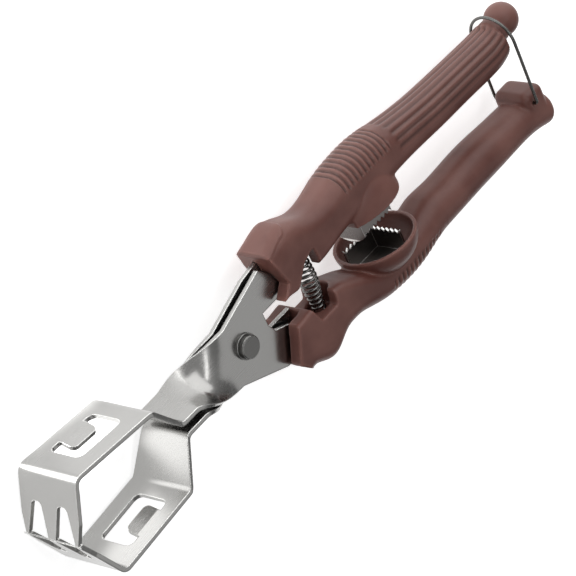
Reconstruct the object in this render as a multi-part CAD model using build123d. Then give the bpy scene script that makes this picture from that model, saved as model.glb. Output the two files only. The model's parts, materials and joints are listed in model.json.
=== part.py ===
from build123d import *
import math
import os

# Chestnut cutter: crossed pliers whose two steel stampings end in a forked cage that
# holds a chestnut, with a nut cracker between the plastic handles and a wire bail that
# locks them shut. The pivot axis is vertical, the jaws point along +X, and the handles
# along -X. The tool is modelled about its pivot, lying on its side, and is set down on
# the ground plane at the very end. All sizes are in millimetres.

# Steel stampings
sheet = 1.6
plate_gap = 1.6
neck_width = 21.8
neck_waist = 18.0
neck_end_width = 21.2
plate_width = 27.4
neck_start = 6.5
neck_end = 33.0
neck_offset = 2.2
neck_skew = 0.10
neck_twist_delay = 1.2
neck_reach = 40.8
shoulder_reach = 51.2
shoulder_offset = 16.4
corner_reach = 86.6
corner_offset = 19.3
tip_reach = 96.0
tip_gap = 0.5
bend_radius = 3.2
neck_steps = 9

# Fan-shaped root of each stamping, around the pivot
fan_reach = 19.5
upper_fan_height = 21.8
lower_fan_height = 20.0
lobe_radius = 25.0
lobe_height = 18.0
notch_reach = 11.8
notch_half_height = 4.3
tang_start = 13.6
tang_step_start = 26.5
tang_step_end = 29.5
tang_step = 9.6
tang_end = 44.0
tang_top = 16.4
tang_bottom = 19.4

# Window in each cage plate, measured along the plate from its shoulder bend
window_start = 6.4
window_length = 20.3
plain_rail = 7.1
tongue_rail = 5.5
window_corner = 2.7
tongue_start = 10.4
tongue_width = 11.5
tongue_setback = 1.2
tongue_length = 5.2
tongue_angle = 17.0
tongue_corner = 2.2

# Fork tines
slot_start = 9.8
middle_tine_root = 7.8
middle_tine_tip = 3.4
outer_tine_root = 5.4
outer_tine_tip = 2.5
slot_round = 2.1
tine_taper = 1.3
tine_taper_length = 7.0
slot_round_share = 0.477

# Pivot
rivet_radius = 3.0
rivet_head_radius = 4.05
rivet_head_height = 2.0
rivet_head_edge = 0.35
washer_radius = 4.6
washer_thickness = 0.8
spacer_radius = 6.0
running_gap = 0.05

# Handles
handle_half_width = 8.5
handle_depth = 25.0
upper_root = 16.8
lower_root = 11.7
bail_reach = 153.2
groove_front = 0.2
lower_end_length = 9.8
upper_reach = bail_reach - groove_front
lower_reach = bail_reach + lower_end_length
wall_inside_far = 3.4
wall_inside_near = 3.1
hollow_gap = 0.6
tang_gap = 0.05
overrun = 30.0

# Groove and ball end that the bail holds
ball_setback = 7.8
ball_reach = bail_reach + ball_setback
ball_drop = 17.2
ball_radius = 6.35
neck_drop = 16.0
neck_radius = 5.3
neck_length = 6.5

# End block that carries the bail
block_before_bail = 3.6
block_behind_bail = 7.4
block_top = 8.2
block_half_width = 8.1
block_corner = 3.0
end_round = 3.2

# Locking bail
bail_wire = 1.15
bail_rise = 12.8
bail_half_width = 9.8
bail_bend = 1.2
bail_end = 5.2
bail_lean = 1.6
bail_height = 35.6

# Nut cracker between the handles
cup_reach = 69.2
cup_mouth = 9.1
cup_radius = 15.4
cup_depth = 12.6
cup_wall = 1.4
cup_cavity_depth = 8.6
dome_setback = 2.6
dome_reach = cup_reach + dome_setback
dome_mouth = -4.4
dome_front = 13.5
dome_front_length = 18.0
dome_back_length = 14.2
dome_half_width = 11.6
dome_depth = 17.0
dome_wall = 2.0
dome_cavity_depth = 6.0

# Serrated steel liners
liner_sheet = 0.8
liner_length = 15.2
liner_half_width = 7.4
lower_liner_height = 9.4
upper_liner_height = 11.6
liner_seat = 0.6
liner_front_drop = 3.0
tooth_count = 7
tooth_depth = 1.3
lower_liner_forward = 1.8
upper_liner_forward = 4.2
lower_liner_reach = cup_reach - lower_liner_forward
upper_liner_reach = dome_reach - upper_liner_forward

# Return spring
spring_wire = 0.9
spring_turns = 13
spring_end_radius = 2.05
spring_mid_radius = 3.05
spring_top_reach = 37.3
spring_top = -12.6
spring_bottom_reach = 35.2
spring_bottom = 14.9
upper_pocket_radius = 3.7
lower_pocket_reach = 36.3
lower_pocket_length = 11.0
lower_pocket_width = 8.8
spring_seat_gap = 0.3
spring_gap_samples = 24

# Notch under the upper handle and valley in the lower one, which leave the spring free
notch_start = 25.3
notch_step_reach = 32.0
notch_step = 10.8
notch_peak_reach = 37.6
notch_peak = 12.6
notch_back = 38.2
valley_start = 24.5
valley_floor_start = 28.6
valley_floor_end = 37.0
valley_end = 39.5
valley_floor = 11.2

# Front ends of the handles
upper_front_top = 19.4
upper_front_height = 21.0
upper_front_low = 22.6
upper_front_turn = 9.2
upper_foot = 17.8
upper_foot_height = 4.4
lower_front_top = 18.2
lower_front_bottom = 12.4
lower_chin_reach = 17.0
lower_chin_height = 23.0
lower_chin_back = 24.5
front_high = 6.0

# Each row is one cross-section of a handle, counted from the front. The columns are shares:
# how far back it is, from 0 at the handle's root through 1 at the cup to 2 at the handle's
# end; its outer and its inner edge, of the handle's depth; and its half width, outer corner
# radius and inner corner radius, of the handle's half width.
upper_section_shares = [
    (0.000, 0.890, 0.156, 1.000, 0.48, 0.14),
    (0.147, 0.996, 0.172, 1.000, 0.58, 0.16),
    (0.263, 1.064, 0.196, 1.000, 0.68, 0.20),
    (0.380, 0.988, 0.216, 1.000, 0.70, 0.24),
    (0.482, 0.886, 0.216, 1.000, 0.70, 0.32),
    (0.585, 0.870, 0.232, 1.000, 0.72, 0.42),
    (0.701, 0.920, 0.248, 1.020, 0.78, 0.56),
    (0.847, 1.004, 0.256, 1.050, 0.84, 0.70),
    (1.014, 1.046, 0.256, 1.060, 0.88, 0.80),
    (1.124, 1.044, 0.256, 1.060, 0.88, 0.84),
    (1.224, 0.994, 0.262, 1.030, 0.88, 0.86),
    (1.361, 0.918, 0.254, 0.990, 0.86, 0.84),
    (1.544, 0.856, 0.228, 0.975, 0.84, 0.84),
    (1.726, 0.826, 0.222, 0.975, 0.82, 0.82),
    (1.881, 0.806, 0.208, 0.970, 0.80, 0.80),
    (2.000, 0.812, 0.272, 0.950, 0.78, 0.78),
]
lower_section_shares = [
    (0.000, 0.890, 0.208, 1.000, 0.60, 0.18),
    (0.108, 0.986, 0.220, 1.000, 0.62, 0.20),
    (0.222, 1.058, 0.204, 1.000, 0.62, 0.20),
    (0.318, 1.096, 0.208, 1.000, 0.62, 0.22),
    (0.406, 1.000, 0.232, 1.000, 0.62, 0.26),
    (0.534, 0.930, 0.264, 1.000, 0.64, 0.34),
    (0.619, 0.956, 0.340, 1.010, 0.70, 0.44),
    (0.718, 1.034, 0.440, 1.040, 0.80, 0.56),
    (0.831, 1.102, 0.580, 1.080, 0.84, 0.56),
    (0.987, 1.150, 0.620, 1.110, 0.90, 0.56),
    (1.105, 1.144, 0.530, 1.110, 0.94, 0.74),
    (1.209, 1.076, 0.455, 1.070, 0.94, 0.84),
    (1.331, 1.030, 0.416, 1.040, 0.92, 0.86),
    (1.487, 1.014, 0.402, 1.030, 0.90, 0.88),
    (1.653, 1.008, 0.410, 1.010, 0.86, 0.84),
    (1.774, 0.996, 0.446, 0.990, 0.80, 0.78),
    (1.896, 1.036, 0.470, 0.960, 0.80, 0.78),
    (2.000, 1.120, 0.610, 0.930, 0.72, 0.72),
]

# Share of the twist that is done at each step along the neck
full_twist = 90.0


def smooth_share(share):
    return share * share * (3 - 2 * share)


# Steel stamping, drawn as the one that carries the upper jaw


def neck_half_width(share):
    """Half width of the neck, which is drawn in at its waist."""
    along = neck_width + (neck_end_width - neck_width) * smooth_share(share)
    drawn_in = (neck_width + neck_end_width) / 2 - neck_waist
    return (along - drawn_in * math.sin(math.pi * share) ** 2) / 2


def neck_section(share):
    """One cross-section of the neck, turned a little further than the last."""
    angle = math.radians(full_twist * smooth_share(share**neck_twist_delay))
    flat_offset = (plate_gap + sheet) / 2
    offset = flat_offset + (neck_offset - flat_offset) * smooth_share(share)
    reach = neck_start + (neck_end - neck_start) * share
    across = Vector(neck_skew, math.cos(angle), math.sin(angle))
    outward = Vector(0, -math.sin(angle), math.cos(angle))
    plane = Plane(
        origin=Vector(reach, 0, 0) + outward * offset,
        x_dir=across,
        z_dir=across.cross(outward),
    )
    return plane * Rectangle(2 * neck_half_width(share) * across.length, sheet)


def twisted_neck():
    return loft([neck_section(step / neck_steps) for step in range(neck_steps + 1)])


def fan_outline(fan_height):
    """Outline of the flat root, from the neck round the lobe, the notch and the tang."""
    lobe_reach = math.sqrt(lobe_radius**2 - lobe_height**2)
    lobe_end_reach = math.sqrt(lobe_radius**2 - notch_half_height**2)
    middle = math.radians(
        (math.degrees(math.atan2(lobe_height, lobe_reach))
         + math.degrees(math.atan2(notch_half_height, lobe_end_reach))) / 2
    )
    lobe_middle = (-lobe_radius * math.cos(middle), -lobe_radius * math.sin(middle))
    fan_front = tang_start - sheet
    fan_slope = (fan_height - neck_width / 2) / (fan_reach + neck_start)
    fan_edge = neck_width / 2 + fan_slope * (fan_front + neck_start)
    skew = neck_skew * neck_width / 2
    start = (neck_start - skew, -neck_width / 2)
    lobe_corner = (-lobe_reach, -lobe_height)
    lobe_end = (-lobe_end_reach, -notch_half_height)
    rest = [
        lobe_end,
        (-notch_reach, -notch_half_height),
        (-notch_reach, notch_half_height / 5),
        (-tang_start, notch_half_height),
        (-lower_front_top, notch_half_height + sheet),
        (-tang_step_start, tang_step),
        (-tang_step_end, tang_top),
        (-tang_end, tang_top),
        (-tang_end, tang_bottom),
        (-tang_step_start, tang_bottom),
        (-fan_front, fan_edge),
        (neck_start + skew, neck_width / 2),
        start,
    ]
    lines = Line(start, lobe_corner) + ThreePointArc(lobe_corner, lobe_middle, lobe_end)
    return lines + Polyline(*rest)


def fan_plate(fan_height):
    face = make_face(fan_outline(fan_height))
    base = Plane.XY.offset(plate_gap / 2)
    plate = extrude(base * face, sheet)
    hole = Pos(0, 0, plate_gap / 2) * Cylinder(rivet_radius + running_gap, overrun)
    return plate - hole


def cage_outline():
    """Side view of the formed strip, from the neck to past the fork's tip."""
    slope = (tip_reach - corner_reach) / corner_offset
    beyond = shoulder_offset
    return FilletPolyline(
        (neck_start, -neck_offset),
        (neck_reach, -neck_offset),
        (shoulder_reach, -shoulder_offset),
        (corner_reach, -corner_offset),
        (tip_reach + slope * beyond, beyond),
        radius=bend_radius,
    )


def cage_plan():
    """Plan of the formed strip, which widens over the flange."""
    half_neck = neck_end_width / 2
    skew = neck_skew * half_neck
    half_plate = plate_width / 2
    far_end = tip_reach + shoulder_offset
    points = [
        (neck_end + skew, half_neck),
        (neck_reach, half_neck),
        (shoulder_reach, half_plate),
        (far_end, half_plate),
        (far_end, -half_plate),
        (shoulder_reach, -half_plate),
        (neck_reach, -half_neck),
        (neck_end - skew, -half_neck),
    ]
    flat = make_face(Polyline(*points, close=True))
    upright = Plane(origin=(0, 0, 0), x_dir=(1, 0, 0), z_dir=(0, -1, 0))
    return extrude(upright * flat, overrun, both=True)


def plate_plane():
    """Outer face of the cage plate: x along the plate, y up."""
    along = Vector(corner_reach - shoulder_reach, shoulder_offset - corner_offset, 0)
    along = along.normalized()
    outward = Vector(along.Y, -along.X, 0)
    return Plane(origin=(shoulder_reach, -shoulder_offset, 0), x_dir=along, z_dir=outward)


def fork_plane():
    """Middle of the fork's sheet: x towards the tips, y up."""
    along = Vector(tip_reach - corner_reach, corner_offset, 0).normalized()
    outward = Vector(along.Y, -along.X, 0)
    return Plane(origin=(corner_reach, -corner_offset, 0), x_dir=along, z_dir=outward)


def window_cut():
    """Window with a tongue left standing on its lower side."""
    height = plate_width - plain_rail - tongue_rail
    middle = (tongue_rail - plain_rail) / 2
    centre = window_start + window_length / 2
    window = Pos(centre, middle) * RectangleRounded(window_length, height, window_corner)
    tongue_height = tongue_setback + tongue_length
    tongue_middle = tongue_rail - plate_width / 2 + tongue_height / 2
    tongue = Pos(tongue_start + tongue_width / 2, tongue_middle)
    tongue = tongue * Rectangle(tongue_width, tongue_height)
    return extrude(plate_plane() * (window - tongue), shoulder_offset / 2, both=True)


def tongue_root():
    """Height on the plate at which the tongue is bent."""
    return tongue_rail + tongue_setback - plate_width / 2


def tongue_room():
    """Space in the flat plate that the tongue is bent out of."""
    centre = tongue_start + tongue_width / 2
    room = Pos(centre, tongue_root() + tongue_length / 2)
    room = room * Rectangle(tongue_width, tongue_length)
    return extrude(plate_plane() * room, shoulder_offset / 2, both=True)


def bent_tongue():
    """Cutting tongue, turned into the cage about its root."""
    centre = tongue_start + tongue_width / 2
    flat = Box(tongue_width, tongue_length, sheet, align=(Align.CENTER, Align.MIN, Align.CENTER))
    tip = flat.edges().filter_by(Axis.Z).sort_by(Axis.Y)[-2:]
    flat = fillet(tip, tongue_corner)
    knuckle = Rot(0, 90, 0) * Cylinder(sheet / 2, tongue_width)
    bent = Rot(-tongue_angle, 0, 0) * flat + knuckle
    return plate_plane() * (Pos(centre, tongue_root(), 0) * bent)


def fork_slot(side):
    """One slot between two tines, wider at the open end."""
    length = tip_slant_length()
    half = plate_width / 2
    root_width = half - outer_tine_root - middle_tine_root / 2
    points = [
        (slot_start, side * middle_tine_root / 2),
        (length, side * middle_tine_tip / 2),
        (length, side * (half - outer_tine_tip)),
        (slot_start, side * (half - outer_tine_root)),
    ]
    outline = make_face(Polyline(*points, close=True))
    top = outline.vertices().sort_by(Axis.X)[:2]
    outline = fillet(top, min(slot_round, root_width * slot_round_share))
    return extrude(fork_plane() * outline, shoulder_offset / 2, both=True)


def tip_slant_length():
    return math.hypot(tip_reach - corner_reach, corner_offset)


def tine_edge_cut(side):
    """Trims an outer tine so that it narrows towards its tip."""
    length = tip_slant_length()
    half = plate_width / 2
    points = [
        (length - tine_taper_length, side * half),
        (length, side * (half - tine_taper)),
        (length, side * (half + tine_taper)),
    ]
    wedge = make_face(Polyline(*points, close=True))
    return extrude(fork_plane() * wedge, shoulder_offset / 2, both=True)


def formed_cage():
    flat = trace(cage_outline(), sheet)
    cage = extrude(flat, plate_width, both=True) & cage_plan()
    beyond = Box(tip_reach, overrun, 2 * plate_width, align=(Align.MIN, Align.MIN, Align.CENTER))
    cage -= Pos(corner_reach, -tip_gap / 2, 0) * beyond
    cage -= window_cut()
    cage -= tongue_room()
    for side in (-1, 1):
        cage -= fork_slot(side)
        cage -= tine_edge_cut(side)
    return cage + bent_tongue()


def stamping(fan_height):
    return fan_plate(fan_height) + twisted_neck() + formed_cage()


def turned_over(shape):
    """The same shape on the other side of the tool, turned about the long axis."""
    return shape.rotate(Axis.X, 180)


# Pivot


def pivot_rivet():
    stack = plate_gap / 2 + sheet + washer_thickness
    shank = Cylinder(rivet_radius, 2 * stack)
    head = Cylinder(
        rivet_head_radius, rivet_head_height, align=(Align.CENTER, Align.CENTER, Align.MIN)
    )
    head = chamfer(head.edges().sort_by(Axis.Z)[-1], rivet_head_edge)
    head = Pos(0, 0, stack) * head
    return shank + head + turned_over(head)


def washer(radius, thickness, middle):
    ring = Cylinder(radius, thickness) - Cylinder(rivet_radius + running_gap, 2 * thickness)
    return Pos(0, 0, middle) * ring


def head_washer(side):
    middle = plate_gap / 2 + sheet + washer_thickness / 2
    return washer(washer_radius, washer_thickness - running_gap, side * middle)


def plate_spacer():
    return washer(spacer_radius, plate_gap - 2 * running_gap, 0)


# Handles


def handle_section(height, width, outer_corner, inner_corner):
    """Rounded box with its outer edge up."""
    section = Rectangle(width, height)
    corners = section.vertices().sort_by(Axis.Y)
    section = fillet(corners[2:], outer_corner)
    return fillet(section.vertices().sort_by(Axis.Y)[:2], inner_corner)


def section_reach(along, root, reach):
    """Place of a section: up to 1 it lies before the cup, and from there to 2 behind it."""
    if along <= 1:
        return root + along * (cup_reach - root)
    return cup_reach + (along - 1) * (reach - cup_reach)


def handle_loft(section_shares, root, reach, side):
    """Smooth body through the cross-sections. Side is -1 for the upper handle."""
    sections = []
    for along, outer, inner, width, outer_corner, inner_corner in section_shares:
        middle = side * (outer + inner) / 2 * handle_depth
        section = handle_section(
            (outer - inner) * handle_depth,
            2 * width * handle_half_width,
            outer_corner * handle_half_width,
            inner_corner * handle_half_width,
        )
        place = (-section_reach(along, root, reach), middle, 0)
        plane = Plane(origin=place, x_dir=(0, 0, side), z_dir=(-1, 0, 0))
        sections.append(plane * section)
    return loft(sections)


def prism(points):
    """Upright prism right through the tool over an outline in plan."""
    return extrude(make_face(Polyline(*points, close=True)), overrun, both=True)


def hollow(side):
    """Slot in a handle's front that the other plate's lobe swings in."""
    near = wall_inside_near if side < 0 else wall_inside_far
    far = wall_inside_far if side < 0 else wall_inside_near
    room = Cylinder(lobe_radius + hollow_gap, near + far)
    return Pos(0, 0, (near - far) / 2) * room


def tang_slot(side):
    """Seat of a stamping's tang, with a hair of clearance all round."""
    fan_height = upper_fan_height if side > 0 else lower_fan_height
    face = offset(make_face(fan_outline(fan_height)), tang_gap)
    base = Plane.XY.offset(plate_gap / 2 - tang_gap)
    slot = extrude(base * face, sheet + 2 * tang_gap)
    return slot if side > 0 else turned_over(slot)


def ellipsoid(half_length, half_height, half_width):
    ball = Rot(0, 90, 0) * Sphere(1)
    return scale(ball, by=(half_length, half_height, half_width))


def bowl(radius, depth, side):
    """Round bowl about its own middle, with its mouth at the origin."""
    curve = EllipticalCenterArc((0, 0), radius, depth, start_angle=0, arc_size=90)
    half = make_face(curve + Polyline((0, depth), (0, 0), (radius, 0)))
    turned = revolve(half, Axis.Y)
    return turned if side > 0 else turned.rotate(Axis.X, 180)


def bowl_cavity(radius, depth, rise, side):
    """Space inside a bowl, and clear above its mouth by the rise."""
    align = (Align.CENTER, Align.CENTER, Align.MIN)
    above = Rot(90, 0, 0) * Cylinder(radius, rise, align=align)
    if side < 0:
        above = above.rotate(Axis.X, 180)
    return bowl(radius, depth, side) + above


def dome_part(half_length, length, align):
    """Quarter of a long ellipsoid, cut off level at its mouth and square at the length."""
    shell = ellipsoid(half_length, dome_depth, dome_half_width)
    room = Box(length, dome_depth, 2 * dome_half_width, align=(align, Align.MAX, Align.CENTER))
    return shell & room


def dome():
    """Long shell under the upper handle, mouth down, with a flat front and a round back."""
    front = dome_part(dome_front_length, dome_front, Align.MIN)
    back = dome_part(dome_back_length, dome_back_length, Align.MAX)
    return Pos(-dome_reach, dome_mouth, 0) * (front + back)


def liner_seat_cut(reach, mouth, cavity_depth, side):
    """Flat-bottomed seat for a liner at the bottom of its bowl."""
    seat = Box(
        liner_length + 2 * tang_gap,
        cavity_depth + liner_seat,
        2 * (liner_half_width + tang_gap),
        align=(Align.CENTER, Align.MIN if side > 0 else Align.MAX, Align.CENTER),
    )
    return Pos(-reach, mouth, 0) * seat


def upper_spring_pocket():
    """Round hole above the notch that the spring's top end stands in."""
    hole = extrude(Circle(upper_pocket_radius), -spring_top)
    hole = Rot(-90, 0, 0) * hole
    return Pos(-spring_top_reach, spring_top - spring_seat_gap, 0) * hole


def lower_spring_pocket():
    """Long pocket in the lower handle's top that the spring's foot stands in."""
    slot = extrude(SlotOverall(lower_pocket_length, lower_pocket_width), spring_bottom)
    slot = Rot(90, 0, 0) * slot
    return Pos(-lower_pocket_reach, spring_bottom + spring_seat_gap, 0) * slot


def ball_end():
    """Ball on a short neck, which leaves the groove that the bail drops into."""
    ball = Pos(-ball_reach, -ball_drop, 0) * (Rot(0, 90, 0) * Sphere(ball_radius))
    align = (Align.CENTER, Align.CENTER, Align.MIN)
    neck = Rot(0, 90, 0) * Cylinder(neck_radius, neck_length, align=align)
    neck_back = ball_reach - ball_radius / 2
    return ball + Pos(-neck_back, -neck_drop, 0) * neck


def upper_handle():
    body = handle_loft(upper_section_shares, upper_root, upper_reach, -1)
    body = body + ball_end() + dome()
    front = prism([
        (front_high, -overrun),
        (-upper_front_top, -overrun),
        (-upper_front_top, -upper_front_height),
        (-upper_front_low, -upper_front_turn),
        (-upper_foot, -upper_foot_height),
        (-upper_foot, 0),
        (front_high, 0),
    ])
    notch = prism([
        (-notch_start, 0),
        (-notch_start, -notch_half_height),
        (-notch_step_reach, -notch_step),
        (-notch_peak_reach, -notch_peak),
        (-notch_back, 0),
    ])
    body = body - front - notch - hollow(-1) - tang_slot(-1)
    body -= upper_spring_pocket()
    cavity = bowl_cavity(dome_half_width - dome_wall, dome_cavity_depth, dome_wall, -1)
    body -= Pos(-dome_reach, dome_mouth, 0) * cavity
    body -= liner_seat_cut(upper_liner_reach, dome_mouth, dome_cavity_depth, -1)
    return body


def end_block():
    length = block_before_bail + block_behind_bail
    height = bail_rise + block_half_width - block_top
    block = Box(length, height, 2 * block_half_width)
    block = fillet(block.edges(), block_corner)
    middle = bail_reach + (block_behind_bail - block_before_bail) / 2
    return Pos(-middle, block_top + height / 2, 0) * block


def bail_hole(side):
    length = bail_half_width - bail_end
    hole = Cylinder(bail_wire / 2 + running_gap, length + running_gap)
    middle = bail_half_width - length / 2
    return Pos(-bail_reach, bail_rise, side * middle) * hole


def lower_handle():
    body = handle_loft(lower_section_shares, lower_root, lower_reach, 1)
    back = body.faces().sort_by(Axis.X)[0]
    body = fillet(back.edges(), end_round)
    cup = bowl(cup_radius, cup_depth, 1)
    body = body + end_block() + Pos(-cup_reach, cup_mouth, 0) * cup
    front = prism([
        (front_high, 0),
        (-lower_front_top, 0),
        (-lower_front_top, front_high),
        (-lower_front_bottom, lower_front_top),
        (-lower_chin_reach, lower_chin_height),
        (-lower_chin_back, overrun),
        (front_high, overrun),
    ])
    valley = prism([
        (-valley_start, 0),
        (-valley_floor_start, valley_floor),
        (-valley_floor_end, valley_floor),
        (-valley_end, 0),
    ])
    body = body - front - valley - hollow(1) - tang_slot(1)
    body -= lower_spring_pocket()
    cavity = bowl_cavity(cup_radius - cup_wall, cup_cavity_depth, cup_mouth, 1)
    body -= Pos(-cup_reach, cup_mouth, 0) * cavity
    body -= liner_seat_cut(lower_liner_reach, cup_mouth, cup_cavity_depth, 1)
    for side in (-1, 1):
        body -= bail_hole(side)
    return body


# Nut cracker liners


def tooth_gap(length):
    """V-shaped notch between two teeth, along an edge at the origin."""
    points = [(-length / 2, 0), (length / 2, 0), (0, -tooth_depth)]
    return make_face(Polyline(*points, close=True))


def toothed_wall(length, height):
    """Upright strip with its toothed edge up, standing on the plane through its foot."""
    wall = Pos(0, height / 2) * Rectangle(length, height)
    pitch = length / tooth_count
    for index in range(tooth_count):
        place = (index + 0.5) * pitch - length / 2
        wall -= Pos(place, height) * tooth_gap(pitch)
    return extrude(wall, liner_sheet / 2, both=True)


def liner_floor():
    return Box(
        liner_length,
        liner_sheet,
        2 * liner_half_width,
        align=(Align.CENTER, Align.MIN, Align.CENTER),
    )


def liner_end(wall, side):
    """Turns a wall to stand across the front (1) or the back (-1) of a liner."""
    return Pos(side * (liner_length - liner_sheet) / 2, 0, 0) * (Rot(0, 90, 0) * wall)


def lower_cracker_liner():
    """Toothed tray in the cup: a far side, a back and a floor, open to the front."""
    far_wall = toothed_wall(liner_length, lower_liner_height)
    far_wall = Pos(0, 0, liner_half_width - liner_sheet / 2) * far_wall
    back_wall = toothed_wall(2 * liner_half_width, lower_liner_height)
    tray = liner_floor() + far_wall + liner_end(back_wall, -1)
    floor = cup_mouth + cup_cavity_depth + liner_seat
    return Pos(-lower_liner_reach, floor, 0) * (Rot(180, 0, 0) * tray)


def rounded_front_wall():
    """Front plate of the upper liner, whose edge hangs lower in the middle."""
    half = liner_half_width
    height = upper_liner_height
    edge = ThreePointArc((half, height), (0, height + liner_front_drop), (-half, height))
    sides = Polyline((-half, height), (-half, 0), (half, 0), (half, height))
    return extrude(make_face(edge + sides), liner_sheet / 2, both=True)


def upper_cracker_liner():
    """Toothed tray in the dome, mouth down, closed by a rounded plate at the front."""
    wall = toothed_wall(liner_length, upper_liner_height)
    offset_out = liner_half_width - liner_sheet / 2
    tray = liner_floor() + Pos(0, 0, offset_out) * wall + Pos(0, 0, -offset_out) * wall
    tray += liner_end(rounded_front_wall(), 1)
    floor = dome_mouth - dome_cavity_depth - liner_seat
    return Pos(-upper_liner_reach, floor, 0) * tray


# Return spring


def spring_axis():
    foot = Vector(-spring_bottom_reach, spring_bottom, 0)
    head = Vector(-spring_top_reach, spring_top, 0)
    return foot, head


def spring_point(turn):
    """Point and direction of the coil after so many turns."""
    foot, head = spring_axis()
    axis = (head - foot).normalized()
    length = (head - foot).length - 4 * spring_wire
    across = Vector(0, 0, 1)
    other = axis.cross(across)
    share = turn / spring_turns
    swell = math.sin(math.pi * share) ** 2
    radius = spring_end_radius + (spring_mid_radius - spring_end_radius) * swell
    swell_rate = math.pi * math.sin(2 * math.pi * share) / spring_turns
    radius_rate = (spring_mid_radius - spring_end_radius) * swell_rate
    angle = 2 * math.pi * turn
    outward = across * math.cos(angle) + other * math.sin(angle)
    onward = other * math.cos(angle) - across * math.sin(angle)
    rise = axis * (2 * spring_wire + length * share)
    point = foot + rise + outward * radius
    heading = axis * (length / spring_turns) + outward * radius_rate
    heading = heading + onward * (2 * math.pi * radius)
    return point, heading.normalized()


def biarc(start, start_heading, end, end_heading):
    """Two tangent arcs from one point and heading to another."""
    chord = end - start
    both = start_heading + end_heading
    spread = 2 * (1 - start_heading.dot(end_heading))
    reach = chord.dot(both)
    step = (math.sqrt(reach * reach + spread * chord.dot(chord)) - reach) / spread
    joint = (start + end + (start_heading - end_heading) * step) / 2
    return [
        Edge.make_tangent_arc(start, start_heading, joint),
        Edge.make_tangent_arc(end, end_heading * -1, joint),
    ]


def spring_path():
    foot, head = spring_axis()
    axis = (head - foot).normalized()
    stops = [spring_point(index / 2) for index in range(2 * spring_turns + 1)]
    first, last = stops[0][0], stops[-1][0]
    lead = stops[0][1] * spring_end_radius
    trail = stops[-1][1] * spring_end_radius
    low = (first - lead) - axis * spring_wire
    high = (last + trail) + axis * spring_wire
    low_end = low - axis * spring_wire
    high_end = high + axis * spring_wire
    edges = [Edge.make_line(low_end, low)]
    edges += biarc(low, axis, first, stops[0][1])
    for (point, heading), (next_point, next_heading) in zip(stops, stops[1:]):
        edges += biarc(point, heading, next_point, next_heading)
    edges += biarc(last, stops[-1][1], high, axis)
    edges.append(Edge.make_line(high, high_end))
    return Wire(edges), low_end, axis


def spring_self_gap():
    """Least clear distance between neighbouring turns, measured on points."""
    count = spring_turns * spring_gap_samples
    points = [spring_point(index / spring_gap_samples)[0] for index in range(count + 1)]
    least = overrun
    for index, point in enumerate(points):
        for other in points[index + spring_gap_samples // 2:]:
            least = min(least, (point - other).length)
    return least - spring_wire


def return_spring():
    path, start, heading = spring_path()
    section = Plane(origin=start, z_dir=heading) * Circle(spring_wire / 2)
    return sweep(section, path=path)


# Locking bail


def locking_bail():
    """Wire loop whose ends turn into the end block and whose arch drops in the groove."""
    half = bail_half_width
    shoulder = bail_height - half
    right = FilletPolyline((bail_end, 0), (half, 0), (half, shoulder), radius=bail_bend)
    left = FilletPolyline((-bail_end, 0), (-half, 0), (-half, shoulder), radius=bail_bend)
    arch = ThreePointArc((half, shoulder), (0, bail_height), (-half, shoulder))
    upright = Vector(-math.sin(math.radians(bail_lean)), -math.cos(math.radians(bail_lean)), 0)
    side = Vector(0, 0, 1)
    plane = Plane(
        origin=(-bail_reach, bail_rise, 0), x_dir=side, z_dir=side.cross(upright)
    )
    path = plane * Wire(right.edges() + arch.edges() + left.edges())
    start = plane.from_local_coords(Vector(bail_end, 0, 0))
    section = Plane(origin=start, z_dir=side) * Circle(bail_wire / 2)
    return sweep(section, path=path)


# Assembly

parts = {
    "upper_jaw": stamping(upper_fan_height),
    "lower_jaw": turned_over(stamping(lower_fan_height)),
    "pivot_rivet": pivot_rivet(),
    "near_washer": head_washer(1),
    "far_washer": head_washer(-1),
    "plate_spacer": plate_spacer(),
    "upper_handle": upper_handle(),
    "lower_handle": lower_handle(),
    "upper_cracker_liner": upper_cracker_liner(),
    "lower_cracker_liner": lower_cracker_liner(),
    "return_spring": return_spring(),
    "locking_bail": locking_bail(),
}

# The tool lies on its side: its box stands on the ground plane, centred over the origin
boxes = [shape.bounding_box() for shape in parts.values()]
low = Vector(*(min(tuple(box.min)[axis] for box in boxes) for axis in range(3)))
high = Vector(*(max(tuple(box.max)[axis] for box in boxes) for axis in range(3)))
set_down = Pos(-(low.X + high.X) / 2, -(low.Y + high.Y) / 2, -low.Z)

os.makedirs("parts", exist_ok=True)
for name, shape in parts.items():
    export_step(set_down * shape, f"parts/{name}.step")

pivot = set_down.position
print("size", tuple(high - low))
print("pivot", tuple(pivot))
print("least gap between the spring's turns", round(spring_self_gap(), 3))
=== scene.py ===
# %% [markdown]
# # Chestnut cutter
#
# The tool is a pair of crossed pliers: two stamped steel jaws on a rivet, two brown plastic
# handles, a toothed nut cracker and a barrel spring between them, and a wire that locks the
# closed handles. The steel pieces, all but the spring, come from the engineering model as they
# are, and get their finish here. The two mouldings and the spring are rebuilt as finer meshes,
# because their ribs, soft corners and turns are shapes that the eye follows.

import json
import math

import bpy
import numpy as np
from mathutils import Matrix, Vector

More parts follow.
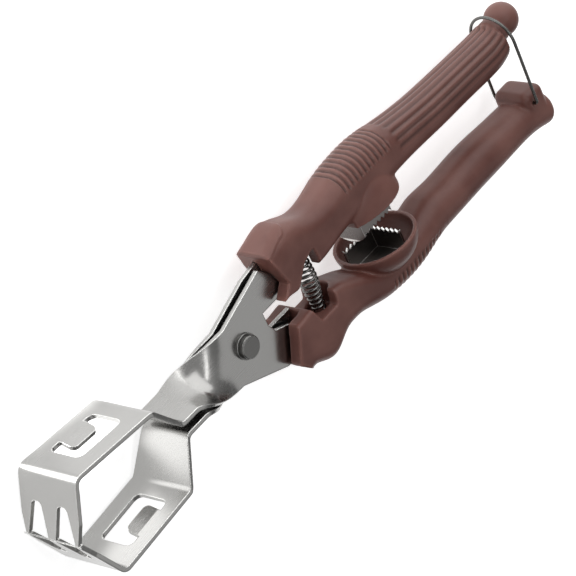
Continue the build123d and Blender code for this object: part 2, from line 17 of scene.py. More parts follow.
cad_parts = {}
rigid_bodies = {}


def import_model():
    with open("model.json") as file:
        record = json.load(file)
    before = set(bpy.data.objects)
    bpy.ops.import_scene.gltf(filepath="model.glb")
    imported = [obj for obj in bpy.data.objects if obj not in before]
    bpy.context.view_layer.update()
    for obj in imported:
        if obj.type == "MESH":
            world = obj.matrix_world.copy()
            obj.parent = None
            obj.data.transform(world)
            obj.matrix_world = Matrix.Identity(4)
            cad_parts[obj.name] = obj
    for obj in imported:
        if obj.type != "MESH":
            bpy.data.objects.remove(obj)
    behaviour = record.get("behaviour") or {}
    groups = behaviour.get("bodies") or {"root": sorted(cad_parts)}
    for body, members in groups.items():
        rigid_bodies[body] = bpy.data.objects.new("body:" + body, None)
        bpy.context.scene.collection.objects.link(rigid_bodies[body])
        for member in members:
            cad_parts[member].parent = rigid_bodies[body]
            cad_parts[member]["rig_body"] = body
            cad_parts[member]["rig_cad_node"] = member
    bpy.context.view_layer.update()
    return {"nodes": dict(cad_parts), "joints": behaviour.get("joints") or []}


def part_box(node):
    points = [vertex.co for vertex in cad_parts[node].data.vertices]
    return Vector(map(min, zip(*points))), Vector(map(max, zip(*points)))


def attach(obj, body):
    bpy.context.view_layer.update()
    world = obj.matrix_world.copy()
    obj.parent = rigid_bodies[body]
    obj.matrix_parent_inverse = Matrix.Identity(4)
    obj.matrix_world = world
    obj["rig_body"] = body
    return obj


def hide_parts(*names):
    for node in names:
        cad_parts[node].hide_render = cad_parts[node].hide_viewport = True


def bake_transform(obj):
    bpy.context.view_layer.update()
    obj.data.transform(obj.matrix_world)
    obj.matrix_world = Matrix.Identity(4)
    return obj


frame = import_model()
nodes = frame["nodes"]
print("pieces in the model:", ", ".join(sorted(nodes)))

# %% [markdown]
# Places on the tool are given in millimetres from the middle of the rivet: `along` runs to the
# jaws, `outward` from the upper handle to the lower one, and `up` along the rivet towards
# the viewer. That is how a maker would measure the tool, and the rivet's own place is read
# from the hinge of the model, so no piece has to be fitted by eye.

# %% Measure from the rivet
MM = 0.001
hinge = next(joint for joint in frame["joints"] if joint["name"] == "handle_hinge")
rivet_middle = Vector(hinge["pos_m"])


def place(along, outward, up):
    """Point given in millimetres from the rivet, in the model's metres."""
    return rivet_middle + Vector((along, outward, up)) * MM


print("rivet at", [round(value, 4) for value in rivet_middle])

# %% [markdown]
# Materials are built from nodes. A few small helpers keep that readable: they add a node and
# set its values, join plain numbers or sockets to it, and hand back the socket that the next
# node needs. So a material reads as a list of steps instead of a tangle of wires.

# %% Helpers for shader nodes


def add_node(tree, kind, settings=None, sockets=None):
    """New node with its settings and the values of its input sockets."""
    made = tree.nodes.new(kind)
    for name, value in (settings or {}).items():
        setattr(made, name, value)
    for name, value in (sockets or {}).items():
        made.inputs[name].default_value = value
    return made


def math_node(tree, operation, first, second):
    """Math node whose two inputs are either sockets to join or plain numbers."""
    made = add_node(tree, "ShaderNodeMath", {"operation": operation})
    for index, value in enumerate((first, second)):
        if isinstance(value, (int, float)):
            made.inputs[index].default_value = value
        else:
            tree.links.new(value, made.inputs[index])
    return made.outputs[0]


def ramp(tree, value, low, high, low_result, high_result):
    """Value turned smoothly from one range into another, held at both ends."""
    made = add_node(tree, "ShaderNodeMapRange", {"interpolation_type": "SMOOTHSTEP"})
    made.inputs["From Min"].default_value = low
    made.inputs["From Max"].default_value = high
    made.inputs["To Min"].default_value = low_result
    made.inputs["To Max"].default_value = high_result
    tree.links.new(value, made.inputs["Value"])
    return made.outputs["Result"]


def colour_mix(tree, share, first, second):
    """Colour between two by a share from 0 to 1. Each is a socket or three plain numbers."""
    made = add_node(tree, "ShaderNodeMix", {"data_type": "RGBA"})
    sockets = {socket.identifier: socket for socket in made.inputs}
    tree.links.new(share, sockets["Factor_Float"])
    for name, colour in (("A_Color", first), ("B_Color", second)):
        if isinstance(colour, tuple):
            sockets[name].default_value = (*colour, 1.0)
        else:
            tree.links.new(colour, sockets[name])
    return next(out for out in made.outputs if out.identifier == "Result_Color")


def coordinates_of(tree, kind="Object"):
    """The three coordinates of the shaded point, each as a socket named X, Y or Z."""
    coordinates = tree.nodes.new("ShaderNodeTexCoord")
    split = tree.nodes.new("ShaderNodeSeparateXYZ")
    tree.links.new(coordinates.outputs[kind], split.inputs["Vector"])
    return split.outputs


print("shader helpers ready")

# %% [markdown]
# Several materials share the same effects, so each effect is a node group: built once, with
# named values on its outside, and placed in a material like any other node. Making the
# sockets in one function keeps the groups alike.

# %% Helper for node groups
NUMBER = "NodeSocketFloat"
VECTOR = "NodeSocketVector"


def new_group(name, inputs, outputs):
    """Empty node group with named number sockets, and its two end nodes."""
    group = bpy.data.node_groups.new(name, "ShaderNodeTree")
    for label, value in inputs.items():
        socket = group.interface.new_socket(name=label, in_out="INPUT", socket_type=NUMBER)
        socket.default_value = value
    for label, kind in outputs.items():
        group.interface.new_socket(name=label, in_out="OUTPUT", socket_type=kind)
    entry = group.nodes.new("NodeGroupInput")
    result = group.nodes.new("NodeGroupOutput")
    return group, entry, result


def group_node(tree, group, values):
    """A shared effect placed in a material, with that material's own values."""
    made = tree.nodes.new("ShaderNodeGroup")
    made.node_tree = group
    for name, value in values.items():
        made.inputs[name].default_value = value
    return made


print("group helpers ready")

# %% [markdown]
# Moulded plastic and satin metal both have a fine, even grain, and over it a slow drift of
# tone left by handling. One group makes both from noise in the piece's own coordinates, so
# the grain stays with the piece when it moves. The grain feeds bumps, the drift feeds colour
# and gloss.

# %% Shared effect: fine grain


def fine_grain_group():
    group, entry, result = new_group(
        "fine grain",
        {"Grains per metre": 3000.0, "Drifts per metre": 60.0},
        {"Grain": NUMBER, "Drift": NUMBER},
    )
    coordinates = group.nodes.new("ShaderNodeTexCoord")
    grain = add_node(group, "ShaderNodeTexNoise", sockets={"Detail": 3.0, "Roughness": 0.6})
    drift = add_node(group, "ShaderNodeTexNoise", sockets={"Detail": 4.0, "Roughness": 0.55})
    group.links.new(coordinates.outputs["Object"], grain.inputs["Vector"])
    group.links.new(coordinates.outputs["Object"], drift.inputs["Vector"])
    group.links.new(entry.outputs["Grains per metre"], grain.inputs["Scale"])
    group.links.new(entry.outputs["Drifts per metre"], drift.inputs["Scale"])
    group.links.new(grain.outputs["Fac"], result.inputs["Grain"])
    group.links.new(drift.outputs["Fac"], result.inputs["Drift"])
    return group


fine_grain = fine_grain_group()
print("made group", fine_grain.name)

# %% [markdown]
# Rolled sheet and drawn wire keep very fine lines along their length. They could be drawn as
# a striped image, but noise that is stretched along the tool needs no picture and never
# repeats. The group gives the tool's length far fewer lines a metre than its width, and that
# is what stretches them.

# %% Shared effect: rolled lines


def rolled_lines_group():
    group, entry, result = new_group(
        "rolled lines",
        {"Lines per metre": 4000.0, "Breaks per metre": 60.0},
        {"Lines": NUMBER},
    )
    point = coordinates_of(group)
    join = group.nodes.new("ShaderNodeCombineXYZ")
    rates = {
        "X": entry.outputs["Breaks per metre"],
        "Y": entry.outputs["Lines per metre"],
        "Z": entry.outputs["Lines per metre"],
    }
    for axis, rate in rates.items():
        stretched = math_node(group, "MULTIPLY", point[axis], rate)
        group.links.new(stretched, join.inputs[axis])
    settings = {"Scale": 1.0, "Detail": 2.0, "Roughness": 0.5}
    lines = add_node(group, "ShaderNodeTexNoise", sockets=settings)
    group.links.new(join.outputs["Vector"], lines.inputs["Vector"])
    group.links.new(lines.outputs["Fac"], result.inputs["Lines"])
    return group


rolled_lines = rolled_lines_group()
print("made group", rolled_lines.name)

# %% [markdown]
# No real edge is a perfect corner. Stamped edges are rolled over a little and rub bright,
# and plastic edges polish. The group reads how far a softened normal differs from the true
# one: near an edge that difference is large, so it gives a mask of the edge line, and the
# softened normal itself catches a highlight along the edge. The materials use the mask to
# paint the edge paler: on the plastic this is a painted highlight, on steel it is partly wear
# and partly a painted highlight.

# %% Shared effect: edge wear and painted highlight
EDGE_MASK_START = 0.006
EDGE_MASK_FULL = 0.14


def edge_wear_and_highlight_group():
    group, entry, result = new_group(
        "edge wear and highlight",
        {"Edge width": 0.4 * MM},
        {"Edge": NUMBER, "Soft normal": VECTOR},
    )
    bevel = add_node(group, "ShaderNodeBevel", {"samples": 6})
    geometry = group.nodes.new("ShaderNodeNewGeometry")
    dot = add_node(group, "ShaderNodeVectorMath", {"operation": "DOT_PRODUCT"})
    group.links.new(entry.outputs["Edge width"], bevel.inputs["Radius"])
    group.links.new(bevel.outputs["Normal"], dot.inputs[0])
    group.links.new(geometry.outputs["Normal"], dot.inputs[1])
    turned = math_node(group, "SUBTRACT", 1.0, dot.outputs["Value"])
    # Where this mask is high, the materials paint the colour paler: a painted highlight, on steel
    # also wear.
    wear_and_highlight = ramp(group, turned, EDGE_MASK_START, EDGE_MASK_FULL, 0.0, 1.0)
    group.links.new(wear_and_highlight, result.inputs["Edge"])
    group.links.new(bevel.outputs["Normal"], result.inputs["Soft normal"])
    return group


edge_wear_and_highlight = edge_wear_and_highlight_group()
print("made group", edge_wear_and_highlight.name)

# %% [markdown]
# All the steel pieces share one recipe: rolled lines for the sheen, a slow drift for smudges,
# and edges painted paler, partly as wear and partly as a painted highlight. What differs is
# how dark and how rough each piece is, how wide its pale edge is, and how strong its lines
# are, so one function takes those as values. The teeth of the nut cracker are brighter at
# their tips, which is a matter of where the point lies, so the recipe can also brighten
# everything past a given place across the tool.

# %% Steel recipe
NOISE_SPREAD = (0.3, 0.7)
STREAK_TONE = 0.08
SMUDGE_TONE = 0.12
ROUGHNESS_DRIFT = 0.15
LINE_ROUGHNESS = (-0.02, 0.03)
LINE_HEIGHT = 0.02 * MM


def new_material(name):
    """Material with nothing but its shader and its output."""
    made = bpy.data.materials.new(name)
    made.use_nodes = True
    tree = made.node_tree
    shader = next(node for node in tree.nodes if node.type == "BSDF_PRINCIPLED")
    return made, tree, shader


def steel_tone(tree, streaks, drift, edges, bright_span):
    """How far each point's colour is from the dark body to the pale wear and painted highlight.
    """
    streaks = math_node(tree, "MULTIPLY", streaks, STREAK_TONE)
    smudges = math_node(tree, "MULTIPLY", drift, SMUDGE_TONE)
    tone = math_node(tree, "ADD", streaks, smudges)
    tone = math_node(tree, "MAXIMUM", tone, edges)
    # Past the span the colour is brighter, at the tips of the teeth.
    if bright_span:
        bright_tips = ramp(tree, coordinates_of(tree)["Y"], *bright_span, 0.0, 1.0)
        tone = math_node(tree, "MAXIMUM", tone, bright_tips)
    return tone


def steel(name, body, wear_and_highlight, rough, edge_width, line_strength, bright_span=None):
    """Steel finish with the colours of its body and of its pale edges, part wear, part painted
    highlight.

    Given a span, the steel brightens between two places across the tool, from the first to the
    second.
    """
    made, tree, shader = new_material(name)
    shader.inputs["Metallic"].default_value = 1.0
    grain = group_node(tree, fine_grain, {"Grains per metre": 6000.0, "Drifts per metre": 45.0})
    rolled = group_node(tree, rolled_lines, {"Lines per metre": 1800.0, "Breaks per metre": 25.0})
    edges = group_node(tree, edge_wear_and_highlight, {"Edge width": edge_width})
    drift = grain.outputs["Drift"]
    lines = rolled.outputs["Lines"]

    # The pale colour is the edges' wear and a painted highlight along them.
    tone = steel_tone(tree, lines, drift, edges.outputs["Edge"], bright_span)
    tree.links.new(colour_mix(tree, tone, body, wear_and_highlight), shader.inputs["Base Color"])

    smooth = rough * (1.0 - ROUGHNESS_DRIFT)
    coarse = rough * (1.0 + ROUGHNESS_DRIFT)
    gloss = ramp(tree, drift, *NOISE_SPREAD, smooth, coarse)
    lines_gloss = ramp(tree, lines, *NOISE_SPREAD, *LINE_ROUGHNESS)
    gloss = math_node(tree, "ADD", gloss, lines_gloss)
    tree.links.new(gloss, shader.inputs["Roughness"])

    values = {"Strength": line_strength, "Distance": LINE_HEIGHT}
    bump = add_node(tree, "ShaderNodeBump", sockets=values)
    height = math_node(tree, "ADD", lines, grain.outputs["Grain"])
    tree.links.new(height, bump.inputs["Height"])
    tree.links.new(edges.outputs["Soft normal"], bump.inputs["Normal"])
    tree.links.new(bump.outputs["Normal"], shader.inputs["Normal"])
    return made


print("steel recipe ready")

# %% [markdown]
# The jaws are satin sheet, the rivet and its washers are turned and darker, the two liners of
# the nut cracker are dark inside with bright teeth, the spring is drawn wire and the wire
# lock is darker wire. Six materials of one recipe keep them kin, as steels from one workshop
# are. The tips of the teeth are found from the box of each liner.

# %% The six steels
TOOTH_LENGTH = 1.3 * MM
BRIGHT_TIP_SHARE = 0.6
upper_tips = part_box("upper_cracker_liner")[1][1]
lower_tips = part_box("lower_cracker_liner")[0][1]
upper_tip_span = (upper_tips - TOOTH_LENGTH, upper_tips - BRIGHT_TIP_SHARE * TOOTH_LENGTH)
lower_tip_span = (lower_tips + TOOTH_LENGTH, lower_tips + BRIGHT_TIP_SHARE * TOOTH_LENGTH)

jaw_steel = steel(
    "satin_jaw_steel",
    body=(0.31, 0.306, 0.298),
    wear_and_highlight=(0.92, 0.92, 0.90),
    rough=0.24,
    edge_width=0.6 * MM,
    line_strength=0.03,
)
rivet_steel = steel(
    "turned_rivet_steel",
    body=(0.08, 0.078, 0.075),
    wear_and_highlight=(0.90, 0.90, 0.88),
    rough=0.3,
    edge_width=0.2 * MM,
    line_strength=0.05,
)
liner_look = {
    "body": (0.10, 0.085, 0.08),
    "wear_and_highlight": (0.92, 0.92, 0.90),
    "rough": 0.3,
    "edge_width": 0.3 * MM,
    "line_strength": 0.1,
}
upper_liner_steel = steel("upper_liner_steel", **liner_look, bright_span=upper_tip_span)
lower_liner_steel = steel("lower_liner_steel", **liner_look, bright_span=lower_tip_span)
spring_steel = steel(
    "spring_wire_steel",
    body=(0.17, 0.165, 0.16),
    wear_and_highlight=(0.50, 0.50, 0.49),
    rough=0.18,
    edge_width=0.1 * MM,
    line_strength=0.05,
)
wire_steel = steel(
    "lock_wire_steel",
    body=(0.11, 0.11, 0.105),
    wear_and_highlight=(0.30, 0.30, 0.29),
    rough=0.26,
    edge_width=0.1 * MM,
    line_strength=0.05,
)
steels = (
    jaw_steel, rivet_steel, upper_liner_steel, lower_liner_steel, spring_steel, wire_steel
)
print("made", ", ".join(steel_made.name for steel_made in steels))

# %% [markdown]
# The handles are a matt brown thermoplastic. Its mould was lightly etched, so it has a fine
# grain and a soft, wide highlight. Crests and corners are a little shinier, and their colour
# is painted paler: a painted highlight. The valleys between the ribs are painted darker:
# painted shade. The mask of the edges finds the corners, but it can't tell a rib's crest from
# its valley. So the material also reads two numbers that the mesh will carry on its points:
# "crest" and "valley". A clear coat or a sheen would look wrong: the real surface has
# neither.

# %% Brown plastic
BODY_BROWN = (0.090, 0.028, 0.021)
# Pale end of the random drift, and the painted highlight on corners and crests.
PALE_AND_HIGHLIGHT_BROWN = (0.215, 0.098, 0.080)
# Painted shade in the valleys between the ribs.
VALLEY_SHADE_BROWN = (0.035, 0.014, 0.011)
DRIFT_TONE = 0.55
EDGE_GAIN = 2.5
CREST_GAIN = 0.7
VALLEY_SHADE = 0.8
PLASTIC_ROUGHNESS = (0.4, 0.5)
POLISH = 0.2
PLASTIC_IOR = 1.45


def highlight_and_gloss_share(tree, edge_width):
    """How much each point gets a painted highlight and a little more gloss, from the corners and
    the marked crests.
    """
    edges = group_node(tree, edge_wear_and_highlight, {"Edge width": edge_width})
    crests = add_node(tree, "ShaderNodeAttribute", {"attribute_name": "crest"})
    corners = math_node(tree, "MULTIPLY", edges.outputs["Edge"], EDGE_GAIN)
    crest_highlight = math_node(tree, "MULTIPLY", crests.outputs["Fac"], CREST_GAIN)
    highlight_and_gloss = math_node(tree, "MAXIMUM", corners, crest_highlight)
    return math_node(tree, "MINIMUM", highlight_and_gloss, 1.0)


def brown_plastic():
    made, tree, shader = new_material("etched_brown_plastic")
    shader.inputs["IOR"].default_value = PLASTIC_IOR
    grain = group_node(tree, fine_grain, {"Grains per metre": 3800.0, "Drifts per metre": 38.0})
    drift = grain.outputs["Drift"]
    highlight_and_gloss = highlight_and_gloss_share(tree, 2.0 * MM)
    tone = ramp(tree, drift, *NOISE_SPREAD, 0.0, DRIFT_TONE)
    tone = math_node(tree, "MAXIMUM", tone, highlight_and_gloss)
    # Corners and crests are painted paler: a painted highlight.
    mottled_and_highlight_brown = colour_mix(tree, tone, BODY_BROWN, PALE_AND_HIGHLIGHT_BROWN)

    # The valleys between the ribs are painted darker: painted shade.
    valleys = add_node(tree, "ShaderNodeAttribute", {"attribute_name": "valley"})
    shade = math_node(tree, "MULTIPLY", valleys.outputs["Fac"], VALLEY_SHADE)
    shaded_brown = colour_mix(tree, shade, mottled_and_highlight_brown, VALLEY_SHADE_BROWN)
    tree.links.new(shaded_brown, shader.inputs["Base Color"])

    gloss = ramp(tree, drift, *NOISE_SPREAD, *PLASTIC_ROUGHNESS)
    gloss = math_node(tree, "SUBTRACT", gloss, math_node(tree, "MULTIPLY", highlight_and_gloss, POLISH))
    tree.links.new(gloss, shader.inputs["Roughness"])

    values = {"Strength": 0.35, "Distance": 0.06 * MM}
    bump = add_node(tree, "ShaderNodeBump", sockets=values)
    tree.links.new(grain.outputs["Grain"], bump.inputs["Height"])
    tree.links.new(bump.outputs["Normal"], shader.inputs["Normal"])
    return made


handle_plastic = brown_plastic()
print("made", handle_plastic.name)

# %% [markdown]
# The jaws, the rivet with its washers, the two toothed liners and the wire lock have their
# real shape in the model already, so they keep it and only take a finish.

# %% Finish the steel pieces
finishes = {
    "upper_jaw": jaw_steel,
    "lower_jaw": jaw_steel,
    "pivot_rivet": rivet_steel,
    "near_washer": rivet_steel,
    "far_washer": rivet_steel,
    "plate_spacer": rivet_steel,
    "upper_cracker_liner": upper_liner_steel,
    "lower_cracker_liner": lower_liner_steel,
    "locking_bail": wire_steel,
}


def give_finish(piece, material):
    if not piece.material_slots:
        piece.data.materials.append(material)
    for slot in piece.material_slots:
        slot.material = material


for name, material in finishes.items():
    give_finish(nodes[name], material)
    print(name, "is finished in", material.name)

# %% [markdown]
# Each handle is one moulding with soft corners everywhere. The model's solid has the right
# form but crisp corners and plain grips. So its mesh is copied, rebuilt on a fine even grid,
# and smoothed a little: that rounds every corner as a mould does, and gives enough points to
# press real ribs into the surface in the next steps.

# %% Even out the mouldings
GRID = 0.4 * MM
SMOOTHING_ROUNDS = 2


def even_copy(node_name, piece_name):
    """Copy of a solid on an even grid, with soft corners."""
    piece = nodes[node_name].copy()
    piece.data = nodes[node_name].data.copy()
    piece.name = piece_name
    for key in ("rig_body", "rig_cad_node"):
        if key in piece:
            del piece[key]
    piece.parent = None
    bpy.context.scene.collection.objects.link(piece)
    grid = piece.modifiers.new("grid", "REMESH")
    grid.mode = "VOXEL"
    grid.voxel_size = GRID
    soft = piece.modifiers.new("soft corners", "SMOOTH")
    soft.factor = 0.5
    soft.iterations = SMOOTHING_ROUNDS
    bpy.context.view_layer.update()
    depsgraph = bpy.context.evaluated_depsgraph_get()
    mesh = bpy.data.meshes.new_from_object(piece.evaluated_get(depsgraph))
    piece.modifiers.clear()
    piece.data = mesh
    mesh.name = piece_name
    mesh.shade_smooth()
    return piece


upper_moulding = even_copy("upper_handle", "upper_handle_moulding")
lower_moulding = even_copy("lower_handle", "lower_handle_moulding")
for piece in (upper_moulding, lower_moulding):
    print(piece.name, "has", len(piece.data.polygons), "faces")

# %% [markdown]
# The grips carry short ribs across and long flutes along them. Bumps in the material would
# vanish at the outline, so the valleys are pressed into the mesh: each point moves along its
# own normal by a depth that depends on where it lies. The points are read into one array, so
# a pattern is a formula over all of them at once. The depth is also kept on the points, for
# the painted shade in the valleys of the plastic.

# %% Helpers that press a pattern into a mesh


def points_of(mesh):
    """Points in millimetres from the rivet, and their normals."""
    points = np.empty(len(mesh.vertices) * 3)
    mesh.vertices.foreach_get("co", points)
    normals = np.empty(len(mesh.vertices) * 3)
    mesh.vertex_normals.foreach_get("vector", normals)
    points = (points.reshape(-1, 3) - np.array(rivet_middle)) / MM
    return points, normals.reshape(-1, 3)


def mark(mesh, name, values):
    """Keeps a number on each point, which the material reads by its name."""
    kept = mesh.attributes.new(name, "FLOAT", "POINT")
    kept.data.foreach_set("value", np.clip(values, 0.0, 1.0).astype(np.float32))


def press(mesh, points, normals, depth, node_name):
    """Moves each point inwards by its own depth in millimetres, never out of the solid's box."""
    moved = (points - normals * depth[:, None]) * MM + np.array(rivet_middle)
    low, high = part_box(node_name)
    moved = np.clip(moved, np.array(low), np.array(high))
    mesh.vertices.foreach_set("co", moved.ravel())
    mesh.update()


def fade(values, start, end):
    """Smooth rise from 0 at the start to 1 at the end."""
    share = np.clip((values - start) / (end - start), 0.0, 1.0)
    return share * share * (3.0 - 2.0 * share)


def band(values, low, high, soft):
    """1 between two places, fading to 0 beyond them."""
    return fade(values, low - soft, low) * (1.0 - fade(values, high, high + soft))


print("helpers for patterns ready")

# %% [markdown]
# Ribs and flutes are the same wave, rounded on top and narrow in its valleys. A plain cosine
# would give valleys as wide as the ribs, so the wave is flattened by a power below one. The
# ribs count it along the handle, in millimetres. The flutes count it around the handle, in
# degrees.

# %% Waves of the ribs and flutes
RIB_PITCH = 2.3
RIB_DEPTH = 0.7
RIB_SOFT_ENDS = 0.3
FLUTE_STEP = 20.0
FLUTE_DEPTH = 0.55
CREST_POWER = 0.7


def valleys_between(turns):
    """1 in the middle of each valley, 0 on each crest. One turn is one crest."""
    wave = 0.5 - 0.5 * np.cos(2 * math.pi * turns)
    return 1.0 - wave**CREST_POWER


def rib_zone(along, first, count):
    """1 along the stretch that the ribs cover, from the first one towards the handle's end."""
    return band(along, first - count * RIB_PITCH, first, RIB_SOFT_ENDS)


def rib_valleys(along, first, count):
    """Valleys between ribs that stand close together."""
    return valleys_between((first - along) / RIB_PITCH) * rib_zone(along, first, count)


print("ribs", RIB_PITCH, "mm apart, flutes", FLUTE_STEP, "degrees apart")

# %% [markdown]
# On the upper handle eleven ribs cross the outer side of the thumb rest, and behind them the
# flutes run to the ball end. A flute follows the angle around the handle's own middle, so
# the flutes draw together where the grip gets slimmer, as the real ones do. That middle is
# measured on the moulding's own points, slice by slice.

# %% Ribs and flutes of the upper handle
THUMB_RIBS = {"first": -59.5, "count": 11}
THUMB_SIDE = (17.6, 19.4)
FLUTES_ALONG = (-150.6, -90.5)
FLUTES_AROUND = (98.0, 108.0)
FLUTES_FADE = 3.0
FLUTE_HIGHLIGHT_SHARE = 0.4
SLICE_STEP = 3.0
SLICE_REACH = 2.0


def slice_middle(points, along):
    """Middle of the handle's height at each place along it, measured on its own points."""
    stations = np.arange(points[:, 0].min(), points[:, 0].max(), SLICE_STEP)
    middles = []
    for station in stations:
        near = np.abs(points[:, 0] - station) < SLICE_REACH
        middles.append((points[near, 1].min() + points[near, 1].max()) / 2)
    return np.interp(along, stations, middles)


def upper_pattern(points):
    """Depth of the pattern, and where its crests stand."""
    along, outward, up = points.T
    thumb_side = fade(-outward, *THUMB_SIDE)
    ribs = rib_valleys(along, **THUMB_RIBS) * thumb_side
    thumb_rest = rib_zone(along, **THUMB_RIBS) * thumb_side
    angle = np.degrees(np.arctan2(up, slice_middle(points, along) - outward))
    grip = band(along, *FLUTES_ALONG, FLUTES_FADE) * (1.0 - fade(np.abs(angle), *FLUTES_AROUND))
    flutes = valleys_between(angle / FLUTE_STEP + 0.5) * grip
    # Crests are marked for the painted highlight of the plastic.
    crests = (thumb_rest + FLUTE_HIGHLIGHT_SHARE * grip) * (1.0 - ribs - flutes)
    return ribs * RIB_DEPTH + flutes * FLUTE_DEPTH, crests


upper_points, upper_normals = points_of(upper_moulding.data)
upper_depth, upper_crests = upper_pattern(upper_points)
# The valley mark carries painted shade and the crest mark a painted highlight.
mark(upper_moulding.data, "valley", upper_depth / RIB_DEPTH)
mark(upper_moulding.data, "crest", upper_crests)
print("deepest valley on the upper handle:", round(float(upper_depth.max()), 2), "mm")

# %% [markdown]
# The block at the front of the upper handle ends in a flat cap, and a fine crease runs where
# the cap stands proud of the neck behind it and of the sides below it. The solid has no such
# step. So everything around the cap is pressed in by a little, fading out to the back and
# down the sides, and the crease is left standing. The cap's end is straight in the middle and
# draws back at both sides, which a fourth power gives.

# %% Crease round the cap
BLOCK_ALONG = (-60.0, -18.0)
BLOCK_STEP = 1.0
CAP_END = -32.5
CAP_ROUND = 6.0
CAP_HALF_WIDTH = 8.5
CAP_CREASE = 0.25
CAP_SKIRT = (2.0, 2.5)
CAP_HEIGHT = 0.4
STEP_FADES_ALONG = (-44.0, -33.0)
STEP_FADES_DOWN = (3.5, 9.0)


def cap_step(points):
    """Share of the step behind and below the flat cap of the front block."""
    along, outward, up = points.T
    stations = np.arange(*BLOCK_ALONG, BLOCK_STEP)
    tops = [points[np.abs(along - station) < BLOCK_STEP, 1].min() for station in stations]
    below_top = outward - np.interp(along, stations, tops)
    cap_end = CAP_END + CAP_ROUND * (np.abs(up) / CAP_HALF_WIDTH) ** 4
    cap = fade(along, cap_end - CAP_CREASE, cap_end + CAP_CREASE)
    cap = cap * (1.0 - fade(below_top, *CAP_SKIRT))
    around = fade(along, *STEP_FADES_ALONG) * (1.0 - fade(below_top, *STEP_FADES_DOWN))
    return (1.0 - cap) * around


upper_depth = upper_depth + cap_step(upper_points) * CAP_HEIGHT
press(upper_moulding.data, upper_points, upper_normals, upper_depth, "upper_handle")
print("cap stands", CAP_HEIGHT, "mm proud")

# %% [markdown]
# The lower handle has ribs only behind the cup, where the fingers pull, and the thin line
# along its outer edge where the two halves of the mould met. The line is a low bell curve
# across the edge, pressed outwards instead of in, and it stops where the ribs were cut.

# %% Ribs and parting line of the lower handle
FINGER_RIBS = {"first": -62.5, "count": 12}
FINGER_SIDE = (20.4, 22.4)
PARTING_WIDTH = 0.5
PARTING_HEIGHT = 0.14
PARTING_SIDE = (18.0, 22.0)
PARTING_STARTS = (30.0, 34.0)


def lower_pattern(points):
    """Depth of the pattern, and where its crests stand."""
    along, outward, up = points.T
    finger_side = fade(outward, *FINGER_SIDE)
    finger_rest = rib_zone(along, **FINGER_RIBS) * finger_side
    ribs = rib_valleys(along, **FINGER_RIBS) * finger_side
    line = np.exp(-((up / PARTING_WIDTH) ** 2)) * fade(outward, *PARTING_SIDE)
    line *= fade(-along, *PARTING_STARTS) * (1.0 - ribs)
    # Crests are marked for the painted highlight of the plastic.
    return ribs * RIB_DEPTH - line * PARTING_HEIGHT, finger_rest * (1.0 - ribs)


lower_points, lower_normals = points_of(lower_moulding.data)
lower_depth, lower_crests = lower_pattern(lower_points)
press(lower_moulding.data, lower_points, lower_normals, lower_depth, "lower_handle")
# The valley mark carries painted shade and the crest mark a painted highlight.
mark(lower_moulding.data, "valley", lower_depth / RIB_DEPTH)
mark(lower_moulding.data, "crest", lower_crests)
print("deepest valley on the lower handle:", round(float(lower_depth.max()), 2), "mm")

# %% [markdown]
# Each moulding is one rigid piece, so it rides whole on its half of the pliers. It takes the
# place of the plain solid of the model, which is hidden.

# %% Hang the mouldings on their halves
mouldings = {
    "upper_handle": (upper_moulding, "upper_half"),
    "lower_handle": (lower_moulding, "lower_half"),
}
for node_name, (piece, body) in mouldings.items():
    piece.data.materials.clear()
    piece.data.materials.append(handle_plastic)
    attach(piece, body)
    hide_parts(node_name)
    print(piece.name, "moves with", body)

# %% [markdown]
# The return spring is wound from bright wire and is barrel-shaped: its turns are wider in the
# middle. A screw modifier could wind it, but with one radius only. Here its middle line is a
# formula, whose radius swells and shrinks again over the turns.

# %% Line of the return spring
SPRING_TURNS = 13
SPRING_WIRE = 0.9
SPRING_END_RADIUS = 2.05
SPRING_MIDDLE_RADIUS = 3.05
STEPS_PER_TURN = 28
UP = Vector((0.0, 0.0, 1.0))
spring_foot = Vector((-35.2, 14.9, 0.0))
spring_head = Vector((-37.3, -12.6, 0.0))


def spring_line():
    """Middle line of the wire. The coil starts and ends two wires inside its two seats."""
    axis = (spring_head - spring_foot).normalized()
    other = axis.cross(UP)
    seat = 2 * SPRING_WIRE
    coil_length = (spring_head - spring_foot).length - 2 * seat
    line = []
    for step in range(SPRING_TURNS * STEPS_PER_TURN + 1):
        share = step / (SPRING_TURNS * STEPS_PER_TURN)
        swell = math.sin(math.pi * share) ** 2
        radius = SPRING_END_RADIUS + (SPRING_MIDDLE_RADIUS - SPRING_END_RADIUS) * swell
        angle = 2 * math.pi * step / STEPS_PER_TURN
        turn = UP * math.cos(angle) + other * math.sin(angle)
        line.append(spring_foot + axis * (seat + coil_length * share) + turn * radius)
    return line


wire_line = spring_line()
print("spring line of", len(wire_line), "points")

# %% [markdown]
# A tube is a ring of points carried along that line, with faces between the rings. Each ring
# takes its first direction from the ring before it, so the tube doesn't twist, and both ends
# are closed.

# %% Return spring
WIRE_SIDES = 12


def ring_points(line, radius, sides):
    """Points of all rings, in the model's metres, one ring after the other."""
    points = []
    across = UP
    for index, point in enumerate(line):
        before = line[max(index - 1, 0)]
        after = line[min(index + 1, len(line) - 1)]
        heading = (after - before).normalized()
        across = (across - heading * across.dot(heading)).normalized()
        other = heading.cross(across)
        for side in range(sides):
            angle = 2 * math.pi * side / sides
            offset = (across * math.cos(angle) + other * math.sin(angle)) * radius
            points.append(place(*(point + offset)))
    return points


def ring_faces(rings, sides):
    """Faces between neighbouring rings, and one face over each end."""
    faces = []
    for ring in range(rings - 1):
        for side in range(sides):
            start = ring * sides + side
            onward = ring * sides + (side + 1) % sides
            faces.append((start, onward, onward + sides, start + sides))
    faces.append(tuple(reversed(range(sides))))
    faces.append(tuple(range((rings - 1) * sides, rings * sides)))
    return faces


